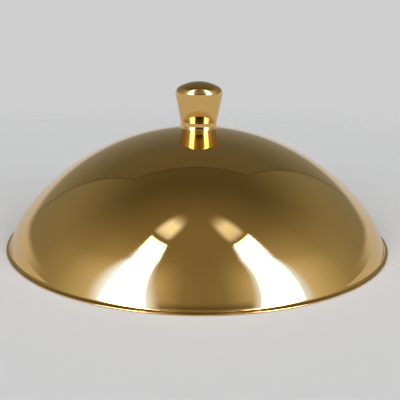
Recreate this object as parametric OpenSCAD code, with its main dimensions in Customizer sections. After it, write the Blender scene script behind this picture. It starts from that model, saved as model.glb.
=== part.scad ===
// Round buffet food cover: a spun metal dome with an outward lip, lifted by a turned knob.
// One screw from inside clamps the knob through a lock washer, a flat washer and the sheet.
// Millimetres, +Z up. The origin is the centre of the plane that the lip rests on.

/* [Dome] */
// Outside diameter over the lip
rim_d = 260; // [220:1:320]
// Height of the crown's curve above the resting plane, as if it ran on over the knob's seat
dome_h = 76; // [56:0.5:100]
// Thickness of the sheet
sheet_t = 0.8; // [0.5:0.1:1.5]
// Outside radius of the shoulder that turns the crown down into the wall
shoulder_r = 61.5; // [40:0.5:85]
// Degrees by which the wall meets the lip steeper than a plain spherical cap would
wall_lift = 11; // [5:0.5:20]

/* [Lip] */
// Width of the lip, from the foot of the wall to its outer edge
lip_w = 2.7; // [1.8:0.1:6]
// Radius of the bend between the wall and the lip
lip_bend_r = 1.6; // [0.6:0.1:3]
// Least flat width under the lip, which the cover rests on
lip_land = 0.4; // [0.2:0.1:1.5]

/* [Knob] */
// Height of the knob above its seat
knob_h = 31.2; // [24:0.2:45]
// Largest diameter of the knob, at its rounded shoulder
knob_d = 31.7; // [26:0.1:42]
// Radius of the rounded shoulder
knob_edge_r = 5.1; // [2:0.1:8]
// Radius of the knob's domed top
knob_top_r = 27; // [22:0.5:80]
// Angle of the flared side from upright
knob_taper = 11.1; // [4:0.1:16]
// Radius of the hollow curve between the flared side and the foot
foot_fillet_r = 12; // [4:0.1:20]
// How far the foot's edge stands out from the flared side's line
foot_flare = 0.9; // [0.5:0.1:5]
// Height of the foot's upright edge
foot_edge_h = 0.6; // [0.3:0.1:2]
// Width of the flat left round the foot on the dome's seat
seat_margin = 2.45; // [0.1:0.05:3]

/* [Gasket] */
// Thickness of the gasket, and depth of its recess in the foot
gasket_t = 0.8; // [0.4:0.1:2]
// Width of the metal land round the recess
gasket_land = 2.6; // [1.2:0.1:5]
// Gap between the gasket and the recess's wall
gasket_gap = 0.15; // [0.05:0.05:0.5]

/* [Screw and washers] */
// Outside diameter of the screw's thread
thread_d = 5; // [4:0.5:6]
// Length of the screw's shank, from under its head
screw_len = 14; // [10:0.5:20]
// Diameter of the pan head
head_d = 9.5; // [8:0.1:12]
// Height of the pan head
head_h = 3.7; // [2.5:0.1:5]
// Radius of the pan head's rounded edge
head_edge_r = 1.8; // [0.6:0.1:2.4]
// Length across the cross recess
recess_l = 5; // [3:0.1:6.5]
// Width of each slot of the cross recess
recess_w = 1.3; // [0.8:0.1:2]
// Depth of the cross recess
recess_depth = 2.2; // [1:0.1:2.4]
// Outside diameter of the flat washer
washer_d = 15; // [10:0.5:20]
// Thickness of the flat washer
washer_t = 1.2; // [0.6:0.1:2]
// Outside diameter of the lock washer
lock_d = 9.2; // [8:0.1:14]
// Thickness of the lock washer
lock_t = 1.2; // [0.8:0.1:2]
// Width of the lock washer's split
lock_split = 0.7; // [0.4:0.1:2]
// Lean of the lock washer's split from upright
lock_lean = 25; // [0:1:40]
// Radius of the small edge rounds on the washers
washer_edge_r = 0.25; // [0.1:0.05:0.3]
// Chamfer on the screw's end
tip_chamfer = 0.8; // [0.3:0.1:1.5]
// Gap round the thread in the dome and the washers
hole_gap = 0.25; // [0.1:0.05:0.6]
// Gap round the thread in the knob's tapped hole
thread_gap = 0.05; // [0.02:0.01:0.15]
// Room in the tapped hole past the screw's end
tip_gap = 1.5; // [0.5:0.1:4]
// Slope of the drill's point at the bottom of the tapped hole
drill_slope = 31; // [0:1:45]

/* [Curves] */
// Largest gap between a curve of an outline and its chords
arc_tol = 0.01; // [0.005:0.005:0.05]

/* [Hidden] */
$fn = 160;
gold = [0.80, 0.58, 0.26];
steel = [0.72, 0.73, 0.74];
black_rubber = [0.12, 0.12, 0.13];

// Dome outline: the crown's arc is centred on the axis, and the shoulder's arc lies inside it,
// tangent to it, and ends at the foot of the wall
rim_r = rim_d / 2;
wall_foot_r = rim_r - lip_w;
wall_angle = 2 * atan((dome_h - sheet_t) / wall_foot_r) + wall_lift;
bend_r = min(lip_bend_r, (lip_w - sheet_t / 2 - lip_land) / sin(wall_angle));
bend_c = [wall_foot_r + bend_r * sin(wall_angle), sheet_t + bend_r];
wall_foot_z = bend_c.y - bend_r * cos(wall_angle);
shoulder_c = [wall_foot_r, wall_foot_z] - shoulder_r * [sin(wall_angle), cos(wall_angle)];
drop = shoulder_c.y - dome_h;
crown_r = (shoulder_r ^ 2 - shoulder_c.x ^ 2 - drop ^ 2) / (2 * (drop + shoulder_r));
crown_c = [0, dome_h - crown_r];
crown_angle = atan2(shoulder_c.x, shoulder_c.y - crown_c.y);
lip_edge_r = sheet_t / 2;
lip_edge_c = [rim_r - lip_edge_r, lip_edge_r];

// Knob outline, with heights from the seat: domed top, rounded shoulder, flared side, hollow foot
top_c = [0, knob_h - knob_top_r];
edge_c_r = knob_d / 2 - knob_edge_r;
edge_c = [edge_c_r, top_c.y + sqrt((knob_top_r - knob_edge_r) ^ 2 - edge_c_r ^ 2)];
edge_angle = atan2(edge_c.x, edge_c.y - top_c.y);
side_out = [cos(knob_taper), -sin(knob_taper)];
side_down = [-sin(knob_taper), -cos(knob_taper)];
side_top = edge_c + knob_edge_r * side_out;
foot_r = side_top.x - (side_top.y - foot_edge_h) * tan(knob_taper) + foot_flare;
foot_corner = [foot_r, foot_edge_h];
to_fillet = side_top + foot_fillet_r * side_out - foot_corner;
along = to_fillet * side_down;
fillet_run = -along - sqrt(along ^ 2 - to_fillet * to_fillet + foot_fillet_r ^ 2);
fillet_c = side_top + foot_fillet_r * side_out + fillet_run * side_down;
to_corner = foot_corner - fillet_c;

// Seat and stack of the fixing, with heights from the resting plane
seat_r = foot_r + seat_margin;
seat_angle = asin(seat_r / crown_r);
seat_z = crown_c.y + crown_r * cos(seat_angle);
under_seat_z = seat_z - sheet_t;
under_seat_angle = acos((under_seat_z - crown_c.y) / (crown_r - sheet_t));
lock_z = under_seat_z - washer_t - lock_t;
screw_hole_r = thread_d / 2 + hole_gap;
tapped_r = thread_d / 2 + thread_gap;
tapped_depth = screw_len - lock_t - washer_t - sheet_t + tip_gap;
gasket_recess_r = foot_r - gasket_land;

// Points on an arc about c, from angle a0 to a1 measured from upright towards +X
function arc(c, r, a0, a1) =
  let (n = max(3, ceil(abs(a1 - a0) / (2 * acos(1 - arc_tol / r)))))
  [for (i = [0:n]) let (a = a0 + (a1 - a0) * i / n) c + r * [sin(a), cos(a)]];

// The points of an arc after its first, for one that goes on from the arc before it
function arc_on(c, r, a0, a1) =
  let (points = arc(c, r, a0, a1))
  [for (i = [1:len(points) - 1]) points[i]];

// Half outline of the dome's sheet: over the outside to the lip, then back along the inside
function dome_outline() = concat(
  [[screw_hole_r, seat_z]],
  arc(crown_c, crown_r, seat_angle, crown_angle),
  arc_on(shoulder_c, shoulder_r, crown_angle, wall_angle),
  arc_on(bend_c, bend_r, 180 + wall_angle, 180),
  arc(lip_edge_c, lip_edge_r, 0, 180),
  arc(bend_c, bend_r + sheet_t, 180, 180 + wall_angle),
  arc_on(shoulder_c, shoulder_r - sheet_t, wall_angle, crown_angle),
  arc_on(crown_c, crown_r - sheet_t, crown_angle, under_seat_angle),
  [[screw_hole_r, under_seat_z]]
);

// Half outline of the knob: up the outside from its foot, then down the tapped hole
function knob_outline() = concat(
  [[gasket_recess_r, 0], [foot_r, 0]],
  arc(fillet_c, foot_fillet_r, atan2(to_corner.x, to_corner.y), knob_taper - 90),
  arc(edge_c, knob_edge_r, 90 + knob_taper, edge_angle),
  arc_on(top_c, knob_top_r, edge_angle, 0),
  [[0, tapped_depth + tapped_r * tan(drill_slope)], [tapped_r, tapped_depth]],
  [[tapped_r, gasket_t], [gasket_recess_r, gasket_t]]
);

// Half outline of the screw: pan head below zero, shank above
function screw_outline() = concat(
  [[0, -head_h]],
  arc([head_d / 2 - head_edge_r, head_edge_r - head_h], head_edge_r, 180, 90),
  [[head_d / 2, 0], [thread_d / 2, 0], [thread_d / 2, screw_len - tip_chamfer]],
  [[thread_d / 2 - tip_chamfer, screw_len], [0, screw_len]]
);

// Flat ring with rounded edges, standing on z = 0
module ring(r_in, r_out, h) {
  e = washer_edge_r;
  rotate_extrude() polygon(concat(
    arc([r_in + e, e], e, 270, 180),
    arc([r_out - e, e], e, 180, 90),
    arc([r_out - e, h - e], e, 90, 0),
    arc([r_in + e, h - e], e, 0, -90)
  ));
}

module dome_shell() {
  color(gold) rotate_extrude() polygon(dome_outline());
}

module knob() {
  color(gold) translate([0, 0, seat_z]) rotate_extrude() polygon(knob_outline());
}

module knob_gasket() {
  color(black_rubber) translate([0, 0, seat_z]) difference() {
    cylinder(r = gasket_recess_r - gasket_gap, h = gasket_t);
    translate([0, 0, -gasket_t]) cylinder(r = screw_hole_r, h = 3 * gasket_t);
  }
}

module flat_washer() {
  color(steel) translate([0, 0, under_seat_z - washer_t]) ring(screw_hole_r, washer_d / 2, washer_t);
}

module lock_washer() {
  color(steel) translate([0, 0, lock_z]) difference() {
    ring(screw_hole_r, lock_d / 2, lock_t);
    translate([lock_d / 2, 0, lock_t / 2]) rotate([lock_lean, 0, 0])
      cube([lock_d, lock_split, 3 * lock_t], center = true);
  }
}

module knob_screw() {
  color(steel) translate([0, 0, lock_z]) difference() {
    rotate_extrude() polygon(screw_outline());
    for (turn = [0, 90]) rotate([0, 0, turn]) translate([0, 0, -head_h])
      cube([recess_l, recess_w, 2 * recess_depth], center = true);
  }
}

dome_shell();
knob();
knob_gasket();
flat_washer();
lock_washer();
knob_screw();
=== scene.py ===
import bmesh
import bpy
import math
from mathutils import Matrix, Vector


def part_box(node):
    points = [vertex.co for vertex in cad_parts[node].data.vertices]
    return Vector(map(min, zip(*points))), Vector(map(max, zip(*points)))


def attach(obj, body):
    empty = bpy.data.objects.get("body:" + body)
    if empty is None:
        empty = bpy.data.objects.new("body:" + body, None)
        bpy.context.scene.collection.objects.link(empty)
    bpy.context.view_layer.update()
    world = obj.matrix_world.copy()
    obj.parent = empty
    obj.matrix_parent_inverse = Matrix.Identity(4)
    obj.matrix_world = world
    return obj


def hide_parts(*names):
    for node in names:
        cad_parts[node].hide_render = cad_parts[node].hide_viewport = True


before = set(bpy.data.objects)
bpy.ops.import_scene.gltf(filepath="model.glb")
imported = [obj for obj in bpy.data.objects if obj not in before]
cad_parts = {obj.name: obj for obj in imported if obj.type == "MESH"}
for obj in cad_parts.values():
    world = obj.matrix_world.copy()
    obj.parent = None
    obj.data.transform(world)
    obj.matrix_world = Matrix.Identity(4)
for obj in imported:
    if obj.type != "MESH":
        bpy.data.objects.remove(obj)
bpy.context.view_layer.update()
scene = bpy.context.scene
scene.view_settings.view_transform = "Standard"
mm = 0.001  # metres in a millimetre
print("frame: nodes", sorted(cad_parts))


# Camera, placed where the picture was taken from: close by and a little above the rim

photoCamera = {
    "distance": 0.416,    # metres from the middle of the resting plane
    "elevation": 18.589,  # degrees above that plane
    "pitch": 15.344,      # degrees that the lens looks down
    "yaw": 0.214,         # degrees that it looks to the right
    "roll": 0.681,        # degrees that it leans, so the right side sits lower
    "focal": 581.6,       # in pixels of a picture 400 wide
    "picture": 400,
    "sensor": 36.0,       # millimetres
    "nearest": 0.01,      # metres from the lens
    "farthest": 50.0,
}


def makeCamera(look):
    elevation, pitch = math.radians(look["elevation"]), math.radians(look["pitch"])
    yaw, roll = math.radians(look["yaw"]), math.radians(look["roll"])
    ahead = Vector((math.sin(yaw) * math.cos(pitch), math.cos(yaw) * math.cos(pitch), -math.sin(pitch)))
    level = Vector((math.cos(yaw), -math.sin(yaw), 0))
    upward = level.cross(ahead)
    right = level * math.cos(roll) + upward * math.sin(roll)
    top = upward * math.cos(roll) - level * math.sin(roll)
    data = bpy.data.cameras.new("photoCamera")
    data.sensor_width = look["sensor"]
    data.lens = look["focal"] / look["picture"] * look["sensor"]
    data.clip_start = look["nearest"]
    data.clip_end = look["farthest"]
    camera = bpy.data.objects.new("photoCamera", data)
    turn = Matrix((right, top, -ahead)).transposed().to_4x4()
    spot = Vector((0, -math.cos(elevation), math.sin(elevation))) * look["distance"]
    camera.matrix_world = Matrix.Translation(spot) @ turn
    scene.collection.objects.link(camera)
    scene.camera = camera


makeCamera(photoCamera)
print("camera: lens", round(scene.camera.data.lens, 2))


# Node helpers

def put(tree, kind, inputs=None, **settings):
    made = tree.nodes.new(kind)
    for name, value in settings.items():
        setattr(made, name, value)
    for socket, value in (inputs or {}).items():
        if isinstance(value, bpy.types.NodeSocket):
            tree.links.new(value, made.inputs[socket])
        else:
            made.inputs[socket].default_value = value
    return made


def calc(tree, operation, *values, clamp=False):
    given = dict(enumerate(values))
    return put(tree, "ShaderNodeMath", given, operation=operation, use_clamp=clamp).outputs[0]


def remap(tree, value, low, high, toLow=0.0, toHigh=1.0, smooth=True):
    wanted = {"Value": value, "From Min": low, "From Max": high, "To Min": toLow, "To Max": toHigh}
    kind = "SMOOTHSTEP" if smooth else "LINEAR"
    return put(tree, "ShaderNodeMapRange", wanted, interpolation_type=kind).outputs["Result"]


def fall(tree, value, low, high):
    # 1 below low, 0 above high
    return remap(tree, value, low, high, 1.0, 0.0)


def ramp(tree, value, stops):
    # each stop is a place from 0 to 1 with a level or a colour
    made = put(tree, "ShaderNodeValToRGB", {"Fac": value})
    marks = made.color_ramp.elements
    while len(marks) < len(stops):
        marks.new(1.0)
    for mark, (place, shade) in zip(marks, stops):
        mark.position = place
        mark.color = (*shade, 1) if isinstance(shade, tuple) else (shade, shade, shade, 1)
    return made.outputs["Color"]


def blendColours(tree, share, first, second):
    # sockets 6 and 7 are the mix node's colours, and 2 is the mixed colour
    made = put(tree, "ShaderNodeMix", {"Factor": share}, data_type="RGBA")
    for socket, value in ((made.inputs[6], first), (made.inputs[7], second)):
        if isinstance(value, bpy.types.NodeSocket):
            tree.links.new(value, socket)
        else:
            socket.default_value = (*value, 1)
    return made.outputs[2]


def blendLevels(tree, share, first, second):
    # sockets 2 and 3 are the mix node's plain numbers
    return put(tree, "ShaderNodeMix", {0: share, 2: first, 3: second}, data_type="FLOAT").outputs[0]


def mixShaders(tree, share, first, second):
    return put(tree, "ShaderNodeMixShader", {0: share, 1: first.outputs[0], 2: second.outputs[0]})


def noise(tree, where, size, detail):
    return put(tree, "ShaderNodeTexNoise", {"Vector": where, "Scale": size, "Detail": detail}).outputs[0]


def objectPlace(tree):
    return put(tree, "ShaderNodeTexCoord").outputs["Object"]


def axesOf(tree, place):
    return put(tree, "ShaderNodeSeparateXYZ", {0: place}).outputs


def flatPlace(tree, place):
    return put(tree, "ShaderNodeVectorMath", {0: place, 1: (1, 1, 0)}, operation="MULTIPLY").outputs[0]


def lengthOf(tree, place):
    return put(tree, "ShaderNodeVectorMath", {0: place}, operation="LENGTH").outputs["Value"]


def aimOf(tree, place):
    return put(tree, "ShaderNodeVectorMath", {0: place}, operation="NORMALIZE").outputs[0]


def newGroup(name, inputs, outputs):
    tree = bpy.data.node_groups.new(name, "ShaderNodeTree")
    for title, value in inputs.items():
        socket = tree.interface.new_socket(title, in_out="INPUT", socket_type="NodeSocketFloat")
        socket.default_value = value
    for title in outputs:
        tree.interface.new_socket(title, in_out="OUTPUT", socket_type="NodeSocketFloat")
    return tree, tree.nodes.new("NodeGroupInput").outputs, tree.nodes.new("NodeGroupOutput").inputs


def useGroup(tree, group, **values):
    made = put(tree, "ShaderNodeGroup", None, node_tree=group)
    for title, value in values.items():
        made.inputs[title].default_value = value
    return made.outputs[0]


def newMaterial(name):
    material = bpy.data.materials.new(name)
    material.use_nodes = True
    tree = material.node_tree
    tree.nodes.clear()
    return material, tree


def finishMaterial(tree, shader):
    output = tree.nodes.new("ShaderNodeOutputMaterial")
    tree.links.new(shader.outputs[0], output.inputs["Surface"])


# Shared effects, each a group that is used with its own values

effectGrain = {
    "lineDetail": 2.0, "rippleDetail": 1.0, "fineDetail": 5.0,
    "smudgeDetail": 4.0, "smudgeFull": 0.85,        # noise at which a smudge is at its thickest
    "speckleFiner": 9.0, "speckleDetail": 3.0, "speckleRange": (0.3, 0.7), "speckleLeast": 0.5,
    "rubDetail": 5.0, "rubRange": (0.42, 0.7),      # noise from unworn to worn
    "driftRange": (0.35, 0.65),                     # noise from one colour to the other
}


def makeSpinLines(grain):
    # Fine rings left by spinning or turning, broken a little round the circle
    tree, given, wanted = newGroup("spinLines", {"Fineness": 3000.0, "Breakup": 0.6}, ["Line"])
    where = objectPlace(tree)
    flat = flatPlace(tree, where)
    way = axesOf(tree, aimOf(tree, flat))
    across = calc(tree, "MULTIPLY", lengthOf(tree, flat), given["Fineness"])
    along = calc(tree, "MULTIPLY", axesOf(tree, where)["Z"], given["Fineness"])
    east = calc(tree, "MULTIPLY", way["X"], given["Breakup"])
    north = calc(tree, "MULTIPLY", way["Y"], given["Breakup"])
    spot = put(tree, "ShaderNodeCombineXYZ", {0: across, 1: east, 2: north}).outputs[0]
    lines = put(tree, "ShaderNodeTexNoise", {
        "Vector": spot, "W": along, "Scale": 1.0, "Detail": grain["lineDetail"]}, noise_dimensions="4D")
    tree.links.new(lines.outputs[0], wanted["Line"])
    return tree


def makeRipple(grain):
    # Slow swells of a sheet or bar that was polished by hand
    tree, given, wanted = newGroup("polishRipple", {"Size": 30.0}, ["Height"])
    swell = noise(tree, objectPlace(tree), given["Size"], grain["rippleDetail"])
    tree.links.new(swell, wanted["Height"])
    return tree


def makeSmudges(grain):
    # Faint film from handling and wiping
    tree, given, wanted = newGroup("handSmudges", {"Size": 25.0, "Clean": 0.5}, ["Mask"])
    where = objectPlace(tree)
    broad = noise(tree, where, given["Size"], grain["smudgeDetail"])
    fineSize = calc(tree, "MULTIPLY", given["Size"], grain["speckleFiner"])
    fine = noise(tree, where, fineSize, grain["speckleDetail"])
    patch = remap(tree, broad, given["Clean"], grain["smudgeFull"])
    speckle = remap(tree, fine, *grain["speckleRange"], grain["speckleLeast"], 1.0)
    tree.links.new(calc(tree, "MULTIPLY", patch, speckle), wanted["Mask"])
    return tree


def makeEdgeRub(grain):
    # Wear along a rim or a shoulder, at one height of the turned form
    tree, given, wanted = newGroup("edgeRub", {"Level": 0.0, "Width": 0.001, "Size": 120.0}, ["Mask"])
    where = objectPlace(tree)
    off = calc(tree, "ABSOLUTE", calc(tree, "SUBTRACT", axesOf(tree, where)["Z"], given["Level"]))
    band = calc(tree, "SUBTRACT", 1.0, calc(tree, "DIVIDE", off, given["Width"]), clamp=True)
    patchy = remap(tree, noise(tree, where, given["Size"], grain["rubDetail"]), *grain["rubRange"])
    tree.links.new(calc(tree, "MULTIPLY", band, patchy), wanted["Mask"])
    return tree


def makeGrain(grain):
    # Fine even texture of moulded rubber
    tree, given, wanted = newGroup("fineGrain", {"Size": 2500.0}, ["Grain"])
    fine = noise(tree, objectPlace(tree), given["Size"], grain["fineDetail"])
    tree.links.new(fine, wanted["Grain"])
    return tree


spinLines = makeSpinLines(effectGrain)
polishRipple = makeRipple(effectGrain)
handSmudges = makeSmudges(effectGrain)
edgeRub = makeEdgeRub(effectGrain)
fineGrain = makeGrain(effectGrain)
print("effects:", [group.name for group in bpy.data.node_groups])


# Metal finishes

def metalFinish(name, look):
    material, tree = newMaterial(name)
    lines = useGroup(tree, spinLines, Fineness=look["lineFineness"], Breakup=look["lineBreakup"])
    swell = useGroup(tree, polishRipple, Size=look["rippleSize"])
    film = useGroup(tree, handSmudges, Size=look["smudgeSize"], Clean=look["smudgeClean"])
    drift = remap(tree, useGroup(tree, polishRipple, Size=look["driftSize"]), *effectGrain["driftRange"])
    colour = blendColours(tree, drift, look["colour"], look["driftColour"])
    for level, width in look["rubs"]:
        worn = useGroup(tree, edgeRub, Level=level, Width=width, Size=look["rubSize"])
        share = calc(tree, "MULTIPLY", worn, look["rubAmount"])
        colour = blendColours(tree, share, colour, look["rubColour"])
    hazed = remap(tree, film, 0.0, 1.0, look["polish"], look["smudgePolish"], smooth=False)
    rough = calc(tree, "ADD", hazed, calc(tree, "MULTIPLY", lines, look["lineRoughness"]))
    fine = calc(tree, "MULTIPLY", lines, look["lineDepth"])
    broad = calc(tree, "MULTIPLY", swell, look["rippleDepth"])
    height = calc(tree, "ADD", fine, broad)
    relief = put(tree, "ShaderNodeBump", {"Strength": 1.0, "Distance": 1.0, "Height": height})
    shader = put(tree, "ShaderNodeBsdfPrincipled", {
        "Base Color": colour, "Metallic": 1.0, "Roughness": rough, "Normal": relief.outputs["Normal"]})
    finishMaterial(tree, shader)
    return material


# Dome, spun from one sheet: crown, shoulder, wall and an outward lip, in millimetres

domeSize = {
    "rimDiameter": 260.0, "crownHeight": 76.0, "sheet": 0.8,
    "shoulderRadius": 61.5, "wallLift": 11.0,  # degrees that the wall is steeper than a plain cap's
    "lipWidth": 2.7, "lipBend": 1.6, "lipLand": 0.4,
    "screwHole": 2.75, "turns": 360, "sharpAbove": 35.0,  # degrees between faces
    "crownSteps": 60, "shoulderSteps": 40, "bendSteps": 12, "edgeSteps": 10,
}

# Rubs are places of wear: a height above the resting plane and a width, in metres

domeOutsideLook = {
    "colour": (0.80, 0.50, 0.165), "driftColour": (0.79, 0.505, 0.175), "driftSize": 9.0,
    "polish": 0.03, "smudgePolish": 0.07, "smudgeSize": 22.0, "smudgeClean": 0.5,
    "lineFineness": 2400.0, "lineBreakup": 1.5, "lineDepth": 4e-8, "lineRoughness": 0.01,
    "rippleSize": 38.0, "rippleDepth": 3e-6,
    "rubs": [(0.0006, 0.0009)], "rubSize": 160.0, "rubAmount": 0.35, "rubColour": (0.72, 0.62, 0.45),
}

domeInsideLook = {
    "colour": (0.72, 0.46, 0.17), "driftColour": (0.66, 0.43, 0.17), "driftSize": 12.0,
    "polish": 0.26, "smudgePolish": 0.38, "smudgeSize": 18.0, "smudgeClean": 0.45,
    "lineFineness": 900.0, "lineBreakup": 3.0, "lineDepth": 4e-6, "lineRoughness": 0.12,
    "rippleSize": 30.0, "rippleDepth": 2e-5,
    "rubs": [],
}


def arc(centre, radius, start, stop, steps):
    # angles in degrees from upright towards the rim
    turn = [math.radians(start + (stop - start) * i / steps) for i in range(steps + 1)]
    return [(centre[0] + radius * math.sin(a), centre[1] + radius * math.cos(a)) for a in turn]


def domeStretches(size, seatRadius):
    sheet, shoulderRadius = size["sheet"], size["shoulderRadius"]
    rim = size["rimDiameter"] / 2
    foot = rim - size["lipWidth"]
    wall = 2 * math.degrees(math.atan((size["crownHeight"] - sheet) / foot)) + size["wallLift"]
    sine, cosine = math.sin(math.radians(wall)), math.cos(math.radians(wall))
    bend = min(size["lipBend"], (size["lipWidth"] - sheet / 2 - size["lipLand"]) / sine)
    bendAt = (foot + bend * sine, sheet + bend)
    shoulderAt = (foot - shoulderRadius * sine, bendAt[1] - (bend + shoulderRadius) * cosine)
    drop = shoulderAt[1] - size["crownHeight"]
    crown = (shoulderRadius ** 2 - shoulderAt[0] ** 2 - drop ** 2) / (2 * (drop + shoulderRadius))
    crownAt = (0.0, size["crownHeight"] - crown)
    meet = math.degrees(math.atan2(shoulderAt[0], shoulderAt[1] - crownAt[1]))
    seat = math.degrees(math.asin(seatRadius / crown))
    seatHeight = crownAt[1] + crown * math.cos(math.radians(seat))
    underSeat = math.degrees(math.acos((seatHeight - sheet - crownAt[1]) / (crown - sheet)))
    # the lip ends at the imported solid's own reach, so it stays inside that box
    reach = min(abs(c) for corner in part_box("dome_shell") for c in corner[:2]) / mm
    lipAt = (reach - sheet / 2, sheet / 2)
    outside = [(size["screwHole"], seatHeight)]
    outside += arc(crownAt, crown, seat, meet, size["crownSteps"])
    outside += arc(shoulderAt, shoulderRadius, meet, wall, size["shoulderSteps"])[1:]
    outside += arc(bendAt, bend, 180 + wall, 180, size["bendSteps"])[1:]
    outside += arc(lipAt, sheet / 2, 0, 180, size["edgeSteps"])
    inside = arc(bendAt, bend + sheet, 180, 180 + wall, size["bendSteps"])
    inside += arc(shoulderAt, shoulderRadius - sheet, wall, meet, size["shoulderSteps"])[1:]
    inside += arc(crownAt, crown - sheet, meet, underSeat, size["crownSteps"])[1:]
    inside += [(size["screwHole"], seatHeight - sheet)]
    return [outside, inside], seatHeight


def lathe(name, stretches, lift, size):
    # each stretch of the half outline, in millimetres, takes the material of its own number
    shape = bmesh.new()
    turns = size["turns"]
    angles = [math.tau * i / turns for i in range(turns)]
    spin = [(math.cos(a), math.sin(a)) for a in angles]
    rings, finish = [], []
    for number, stretch in enumerate(stretches):
        for radius, height in stretch:
            r, z = radius * mm, (height + lift) * mm
            if radius == 0:
                rings.append([shape.verts.new((0, 0, z))] * turns)
            else:
                rings.append([shape.verts.new((r * east, r * north, z)) for east, north in spin])
            finish.append(number)
    for number, ring in enumerate(rings):
        following = rings[(number + 1) % len(rings)]
        if ring[0] is ring[1] and following[0] is following[1]:
            continue  # both rings are points on the axis
        for i in range(turns):
            j = (i + 1) % turns
            corners = list(dict.fromkeys((ring[i], ring[j], following[j], following[i])))
            shape.faces.new(corners).material_index = finish[number]
    bmesh.ops.recalc_face_normals(shape, faces=shape.faces)
    mesh = bpy.data.meshes.new(name)
    shape.to_mesh(mesh)
    shape.free()
    mesh.shade_smooth()
    mesh.set_sharp_from_angle(angle=math.radians(size["sharpAbove"]))
    piece = bpy.data.objects.new(name, mesh)
    scene.collection.objects.link(piece)
    return piece


# Knob, turned from bar: domed top, rounded shoulder, flared side and a hollow curve to its foot

knobSize = {
    "height": 31.2, "diameter": 31.7, "edgeRadius": 5.1, "topRadius": 27.0, "taper": 11.1,
    "filletRadius": 12.0, "footFlare": 0.9, "footEdge": 0.6, "seatMargin": 2.45,
    "gasketThickness": 0.8, "gasketLand": 2.6, "tappedRadius": 2.55, "drillSlope": 31.0,
    "tappedDepth": 12.3, "turns": 256, "sharpAbove": 35.0,
    "filletSteps": 24, "edgeSteps": 24, "topSteps": 24,
}

knobLook = {
    "colour": (0.80, 0.50, 0.165), "driftColour": (0.79, 0.505, 0.175), "driftSize": 30.0,
    "polish": 0.025, "smudgePolish": 0.06, "smudgeSize": 70.0, "smudgeClean": 0.5,
    "lineFineness": 4000.0, "lineBreakup": 1.0, "lineDepth": 3e-8, "lineRoughness": 0.01,
    "rippleSize": 120.0, "rippleDepth": 4e-7,
    "rubs": [(0.0985, 0.004), (0.0757, 0.0006)], "rubSize": 300.0, "rubAmount": 0.2,
    "rubColour": (0.72, 0.62, 0.45),
}


def knobStretch(size):
    edge, top, taper = size["edgeRadius"], size["topRadius"], math.radians(size["taper"])
    topAt = (0.0, size["height"] - top)
    edgeX = size["diameter"] / 2 - edge
    edgeAt = (edgeX, topAt[1] + math.sqrt((top - edge) ** 2 - edgeX ** 2))
    edgeTurn = math.degrees(math.atan2(edgeAt[0], edgeAt[1] - topAt[1]))
    outward = Vector((math.cos(taper), -math.sin(taper)))
    downward = Vector((-math.sin(taper), -math.cos(taper)))
    sideTop = Vector(edgeAt) + edge * outward
    foot = sideTop.x - (sideTop.y - size["footEdge"]) * math.tan(taper) + size["footFlare"]
    corner = Vector((foot, size["footEdge"]))
    fillet = size["filletRadius"]
    toFillet = sideTop + fillet * outward - corner
    along = toFillet.dot(downward)
    run = -along - math.sqrt(along ** 2 - toFillet.length_squared + fillet ** 2)
    filletAt = sideTop + fillet * outward + run * downward
    toCorner = corner - filletAt
    startTurn = math.degrees(math.atan2(toCorner.x, toCorner.y))
    recess = foot - size["gasketLand"]
    drillTip = size["tappedDepth"] + size["tappedRadius"] * math.tan(math.radians(size["drillSlope"]))
    outline = [(recess, 0.0), (foot, 0.0)]
    outline += arc(filletAt, fillet, startTurn, size["taper"] - 90, size["filletSteps"])
    outline += arc(edgeAt, edge, 90 + size["taper"], edgeTurn, size["edgeSteps"])
    outline += arc(topAt, top, edgeTurn, 0, size["topSteps"])[1:-1]
    outline += [(0.0, size["height"]), (0.0, drillTip), (size["tappedRadius"], size["tappedDepth"])]
    outline += [(size["tappedRadius"], size["gasketThickness"]), (recess, size["gasketThickness"])]
    return outline, foot


knobOutline, footRadius = knobStretch(knobSize)
domeOutline, seatHeight = domeStretches(domeSize, footRadius + knobSize["seatMargin"])

domePiece = lathe("foodCoverDome", domeOutline, 0.0, domeSize)
domePiece.data.materials.append(metalFinish("domeOutsideGold", domeOutsideLook))
domePiece.data.materials.append(metalFinish("domeInsideSatin", domeInsideLook))
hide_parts("dome_shell")
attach(domePiece, "root")
print("dome:", len(domePiece.data.polygons), "faces, seat at", round(seatHeight, 3))

knobPiece = lathe("turnedKnob", [knobOutline], seatHeight, knobSize)
knobPiece.data.materials.append(metalFinish("knobGold", knobLook))
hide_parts("knob")
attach(knobPiece, "root")
print("knob:", len(knobPiece.data.polygons), "faces, foot radius", round(footRadius, 3))


# Screw, washers and gasket keep their shapes and get their own finishes

screwLook = {
    "colour": (0.62, 0.62, 0.61), "driftColour": (0.56, 0.56, 0.56), "driftSize": 260.0,
    "polish": 0.24, "smudgePolish": 0.36, "smudgeSize": 300.0, "smudgeClean": 0.4,
    "lineFineness": 6000.0, "lineBreakup": 1.0, "lineDepth": 1.5e-6, "lineRoughness": 0.08,
    "rippleSize": 500.0, "rippleDepth": 1e-6,
    "rubs": [(0.0684, 0.0006)], "rubSize": 900.0, "rubAmount": 0.4, "rubColour": (0.78, 0.77, 0.75),
}
washerLook = dict(screwLook, colour=(0.58, 0.58, 0.575), driftColour=(0.50, 0.50, 0.50), polish=0.30,
                  smudgePolish=0.42, lineFineness=3000.0, lineBreakup=6.0, rubs=[(0.0733, 0.0003)])
springLook = dict(screwLook, colour=(0.42, 0.42, 0.43), driftColour=(0.36, 0.355, 0.35), polish=0.36,
                  smudgePolish=0.5, rubs=[(0.0721, 0.0003)])

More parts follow.
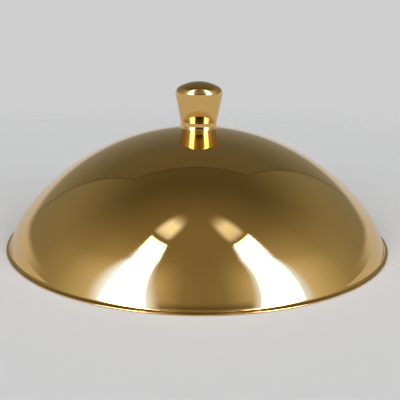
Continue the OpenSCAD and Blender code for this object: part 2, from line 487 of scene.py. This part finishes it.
rubberLook = {
    "colour": (0.022, 0.022, 0.024), "paleColour": (0.045, 0.045, 0.046),
    "filmSize": 220.0, "filmClean": 0.4,
    "grainSize": 2600.0, "grainRange": (0.3, 0.7), "grainDepth": 2e-5, "shine": 0.62, "dull": 0.82,
}


def rubberFinish(name, look):
    material, tree = newMaterial(name)
    grain = useGroup(tree, fineGrain, Size=look["grainSize"])
    film = useGroup(tree, handSmudges, Size=look["filmSize"], Clean=look["filmClean"])
    relief = put(tree, "ShaderNodeBump", {
        "Strength": 1.0, "Distance": 1.0, "Height": calc(tree, "MULTIPLY", grain, look["grainDepth"])})
    shader = put(tree, "ShaderNodeBsdfPrincipled", {
        "Base Color": blendColours(tree, film, look["colour"], look["paleColour"]),
        "Roughness": remap(tree, grain, *look["grainRange"], look["shine"], look["dull"]),
        "Normal": relief.outputs["Normal"]})
    finishMaterial(tree, shader)
    return material


fixings = {
    "knob_screw": metalFinish("screwSteel", screwLook),
    "flat_washer": metalFinish("washerSteel", washerLook),
    "lock_washer": metalFinish("springSteel", springLook),
    "knob_gasket": rubberFinish("gasketRubber", rubberLook),
}
for node, material in fixings.items():
    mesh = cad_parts[node].data
    mesh.materials.clear()
    mesh.materials.append(material)
print("fixings:", sorted(fixings))


# Studio: a pale floor that runs into a pale surround, a dim tent, and two tall softboxes in front.
# The tent is open low at the back, so lens and metal meet the same surround there.
# Azimuth is counted from the camera's side, positive to the right, and elevation from the floor.

halfTurn = 180.0  # degrees
floor = {"solid": 0.45, "radius": 0.90, "drop": -0.0002, "corners": 120, "colour": (0.596, 0.604, 0.632)}
surround = {"level": 0.62}

tent = {
    "radius": 40.0, "segments": 64, "rings": 32, "middle": 4.0,  # azimuth of the tent's front
    # level and tint by azimuth away from the middle: front, beside the softboxes, sides, back
    "walls": [(0, 0.245), (12, 0.275), (20, 0.43), (29, 0.64), (62, 0.755), (67, 0.68), (75, 0.55),
              (90, 0.36), (110, 0.28), (140, 0.25), (180, 0.25)],
    "tints": [(0, (1.0, 0.92, 0.64)), (15, (1.0, 0.94, 0.70)), (30, (1.0, 1.0, 0.95)),
              (66, (0.98, 1.0, 1.0)), (85, (1.0, 0.99, 0.80)), (120, (1.0, 0.99, 0.80)),
              (180, (1.0, 1.02, 0.97))],
    # the opening: the cloth gives way to the surround between these azimuths and these elevations
    "openFrom": 95.0, "openPast": 125.0, "openBelow": 4.0, "openTop": 10.0,
    "ceilingTint": (1.0, 0.89, 0.58),
    "ceilingFront": 0.235, "ceilingBack": 0.107, "ceilingSpread": 0.3,
    "ceilingStart": 26.0, "ceilingFull": 68.0,
    # a flat wall at the back, between two upright edges and under a level top
    "backEdge": 141.0, "backSlope": 1.905,
    "backFall": [(0.0, 0.33), (0.2, 0.28), (0.4, 0.21), (0.62, 0.15)],  # level by sine of the elevation
    "seamWidth": 1.0, "seamDepth": 0.33,
    # a darker zone low in front
    "frontDarkWidth": 30.0, "frontDarkSoft": 6.0,
    "frontDarkLow": 6.0, "frontDarkHigh": 18.0, "frontDarkDepth": 0.8,
}

# Softboxes: two main cards, each with a glow card behind it and a top card over it.
# Inner and outer are azimuths of the edges at the foot and the top, and height has both elevations.
# Bow is how far the outer edge bulges between foot and top, in degrees.
# Soft is the share of the width that fades at each side, first at the foot and then at the top.
# SoftEnds is the share of the height that fades at the foot and at the top.
# Lights says whether a card lights matt surfaces too, or only shows in the metal.

glowCard = {"softEnds": (0.03, 0.03), "distance": 0.98, "lights": False}
mainCard = {"soft": (0.045, 0.03), "softEnds": (0.02, 0.02), "strength": 7.35, "colour": (1.0, 1.0, 1.0),
            "distance": 0.97, "lights": True}
topCard = {"soft": (0.25, 0.5), "softEnds": (0.1, 1.0), "bow": 0.0, "distance": 0.97, "lights": True}

softboxes = {
    "leftGlow": dict(glowCard, inner=(-15.5, -33.0), outer=(-63.5, -57.5), bow=-3.0, height=(0.0, 65.9),
                     soft=(0.27, 0.27), strength=3.4, colour=(0.36, 0.52, 1.3)),
    "leftSoftbox": dict(mainCard, inner=(-26.2, -34.6), outer=(-56.8, -58.0), bow=3.5, height=(0.0, 65.9)),
    "leftTop": dict(topCard, inner=(-34.0, -16.0), outer=(-63.0, -74.0), height=(67.2, 84.0),
                    strength=1.5, colour=(0.88, 1.0, 1.31)),
    "rightGlow": dict(glowCard, inner=(28.5, 37.5), outer=(69.0, 66.0), bow=-1.0, height=(0.0, 65.0),
                      soft=(0.17, 0.11), strength=2.2, colour=(0.42, 0.58, 1.3)),
    "rightSoftbox": dict(mainCard, inner=(34.0, 41.3), outer=(62.0, 64.5), bow=-2.0, height=(0.0, 65.1)),
    "rightTop": dict(topCard, inner=(37.0, 20.0), outer=(65.0, 75.0), height=(65.7, 83.5),
                     strength=1.26, colour=(0.9, 0.98, 1.17)),
}


def heading(azimuth, elevation):
    a, e = math.radians(azimuth), math.radians(elevation)
    return Vector((math.sin(a) * math.cos(e), -math.cos(a) * math.cos(e), math.sin(e)))


def between(ends, share):
    return ends[0] + (ends[1] - ends[0]) * share


def stageMesh(name, verts, faces, material):
    mesh = bpy.data.meshes.new(name)
    mesh.from_pydata(verts, [], faces)
    mesh.materials.append(material)
    made = bpy.data.objects.new(name, mesh)
    scene.collection.objects.link(made)
    return made


def azimuthOf(tree, axes):
    front = calc(tree, "MULTIPLY", axes["Y"], -1.0)
    return calc(tree, "DEGREES", calc(tree, "ARCTAN2", axes["X"], front))


def darken(tree, level, share, depth):
    left = calc(tree, "SUBTRACT", 1.0, calc(tree, "MULTIPLY", share, depth))
    return calc(tree, "MULTIPLY", level, left)


def floorFinish(look):
    material, tree = newMaterial("paleFloor")
    away = lengthOf(tree, flatPlace(tree, objectPlace(tree)))
    matt = put(tree, "ShaderNodeBsdfDiffuse", {"Color": (*look["colour"], 1)})
    clear = put(tree, "ShaderNodeBsdfTransparent")
    fade = remap(tree, away, look["solid"], look["radius"])
    finishMaterial(tree, mixShaders(tree, fade, matt, clear))
    return material


def tentFinish(look):
    material, tree = newMaterial("tentCloth")
    axes = axesOf(tree, aimOf(tree, objectPlace(tree)))
    elevation = calc(tree, "DEGREES", calc(tree, "ARCSINE", axes["Z"]))
    aside = calc(tree, "ABSOLUTE", calc(tree, "SUBTRACT", azimuthOf(tree, axes), look["middle"]))
    share = calc(tree, "DIVIDE", aside, halfTurn)
    # side walls, turning into a ceiling that is brighter towards the front
    wall = ramp(tree, share, [(azimuth / halfTurn, shade) for azimuth, shade in look["walls"]])
    ceiling = remap(tree, axes["Y"], -look["ceilingSpread"], look["ceilingSpread"],
                    look["ceilingFront"], look["ceilingBack"])
    rise = remap(tree, elevation, look["ceilingStart"], look["ceilingFull"])
    level = blendLevels(tree, rise, wall, ceiling)
    # flat back wall, falling off with height, with a dark seam round it
    over = calc(tree, "SUBTRACT", axes["Z"], calc(tree, "MULTIPLY", axes["Y"], look["backSlope"]))
    under = calc(tree, "LESS_THAN", over, 0.0)
    within = calc(tree, "GREATER_THAN", aside, look["backEdge"])
    back = ramp(tree, axes["Z"], look["backFall"])
    level = blendLevels(tree, calc(tree, "MULTIPLY", under, within), level, back)
    degree = math.degrees(1) / math.hypot(1, look["backSlope"])
    across = calc(tree, "MULTIPLY", calc(tree, "ABSOLUTE", over), degree)
    upright = calc(tree, "ABSOLUTE", calc(tree, "SUBTRACT", aside, look["backEdge"]))
    topSeam = calc(tree, "MULTIPLY", fall(tree, across, 0.0, look["seamWidth"]), within)
    sideSeam = calc(tree, "MULTIPLY", fall(tree, upright, 0.0, look["seamWidth"]), under)
    level = darken(tree, level, calc(tree, "MAXIMUM", topSeam, sideSeam), look["seamDepth"])
    # darker zone low in front
    inFront = fall(tree, aside, look["frontDarkWidth"] - look["frontDarkSoft"], look["frontDarkWidth"])
    low = fall(tree, elevation, look["frontDarkLow"], look["frontDarkHigh"])
    level = darken(tree, level, calc(tree, "MULTIPLY", inFront, low), look["frontDarkDepth"])
    tint = ramp(tree, share, [(azimuth / halfTurn, colour) for azimuth, colour in look["tints"]])
    tint = blendColours(tree, rise, tint, look["ceilingTint"])
    cloth = put(tree, "ShaderNodeEmission", {"Color": tint, "Strength": level})
    clear = put(tree, "ShaderNodeBsdfTransparent")
    # opening, low at the back
    behind = remap(tree, aside, look["openFrom"], look["openPast"])
    nearFloor = fall(tree, elevation, look["openBelow"], look["openTop"])
    finishMaterial(tree, mixShaders(tree, calc(tree, "MULTIPLY", behind, nearFloor), cloth, clear))
    return material


def softboxFinish(name, look):
    material, tree = newMaterial(name)
    axes = axesOf(tree, put(tree, "ShaderNodeTexCoord").outputs["UV"])
    edge = 1.0
    for axis, soft in (("X", look["soft"]), ("Y", look["softEnds"])):
        border = calc(tree, "MINIMUM", axes[axis], calc(tree, "SUBTRACT", 1.0, axes[axis]))
        reach = remap(tree, axes["Y"], 0.0, 1.0, soft[0], soft[1], smooth=False)
        edge = calc(tree, "MULTIPLY", edge, remap(tree, calc(tree, "DIVIDE", border, reach), 0.0, 1.0))
    glow = put(tree, "ShaderNodeEmission", {"Color": (*look["colour"], 1), "Strength": look["strength"]})
    clear = put(tree, "ShaderNodeBsdfTransparent")
    finishMaterial(tree, mixShaders(tree, edge, clear, glow))
    return material


def makeFloor(look):
    turn = [math.tau * i / look["corners"] for i in range(look["corners"])]
    verts = [(look["radius"] * math.cos(a), look["radius"] * math.sin(a), look["drop"]) for a in turn]
    stageMesh("paleFloor", verts, [tuple(range(look["corners"]))], floorFinish(look))


def makeTent(look):
    shape = bmesh.new()
    bmesh.ops.create_uvsphere(shape, u_segments=look["segments"], v_segments=look["rings"],
                              radius=look["radius"])
    under = [face for face in shape.faces if face.calc_center_median().z < 0]
    bmesh.ops.delete(shape, geom=under, context="FACES")
    mesh = bpy.data.meshes.new("studioTent")
    shape.to_mesh(mesh)
    shape.free()
    cloth = tentFinish(look)
    cloth.cycles.emission_sampling = "NONE"
    mesh.materials.append(cloth)
    made = bpy.data.objects.new("studioTent", mesh)
    scene.collection.objects.link(made)
    made.visible_camera = False
    made.visible_shadow = False


def makeSoftbox(name, look, radius, steps=16):
    verts, faces, places = [], [], []
    for j in range(steps + 1):
        v = j / steps
        bulge = 4 * v * (1 - v)  # 0 at the foot and the top, 1 halfway
        elevation = between(look["height"], v)
        inner = between(look["inner"], v)
        outer = between(look["outer"], v) + look["bow"] * bulge
        for i in range(steps + 1):
            u = i / steps
            verts.append(heading(between((outer, inner), u), elevation) * radius)
            places.append((u, v))
    for j in range(steps):
        for i in range(steps):
            a = j * (steps + 1) + i
            faces.append((a, a + 1, a + steps + 2, a + steps + 1))
    made = stageMesh(name, verts, faces, softboxFinish(name, look))
    layer = made.data.uv_layers.new(name="across")
    for loop in made.data.loops:
        layer.data[loop.index].uv = places[loop.vertex_index]
    made.visible_camera = False
    made.visible_shadow = False
    made.visible_diffuse = look["lights"]


def makeWorld(look):
    world = bpy.data.worlds.new("paleSurround")
    scene.world = world
    world.use_nodes = True
    tree = world.node_tree
    tree.nodes.clear()
    path = put(tree, "ShaderNodeLightPath").outputs
    shown = calc(tree, "MAXIMUM", path["Is Camera Ray"], path["Is Glossy Ray"])
    shown = calc(tree, "MAXIMUM", shown, path["Is Transmission Ray"])
    level = calc(tree, "MULTIPLY", shown, look["level"])
    back = put(tree, "ShaderNodeBackground", {"Color": (1, 1, 1, 1), "Strength": level})
    output = tree.nodes.new("ShaderNodeOutputWorld")
    tree.links.new(back.outputs[0], output.inputs["Surface"])


makeFloor(floor)
makeTent(tent)
for name, look in softboxes.items():
    makeSoftbox(name, look, tent["radius"] * look["distance"])
makeWorld(surround)
print("studio:", ", ".join(softboxes))
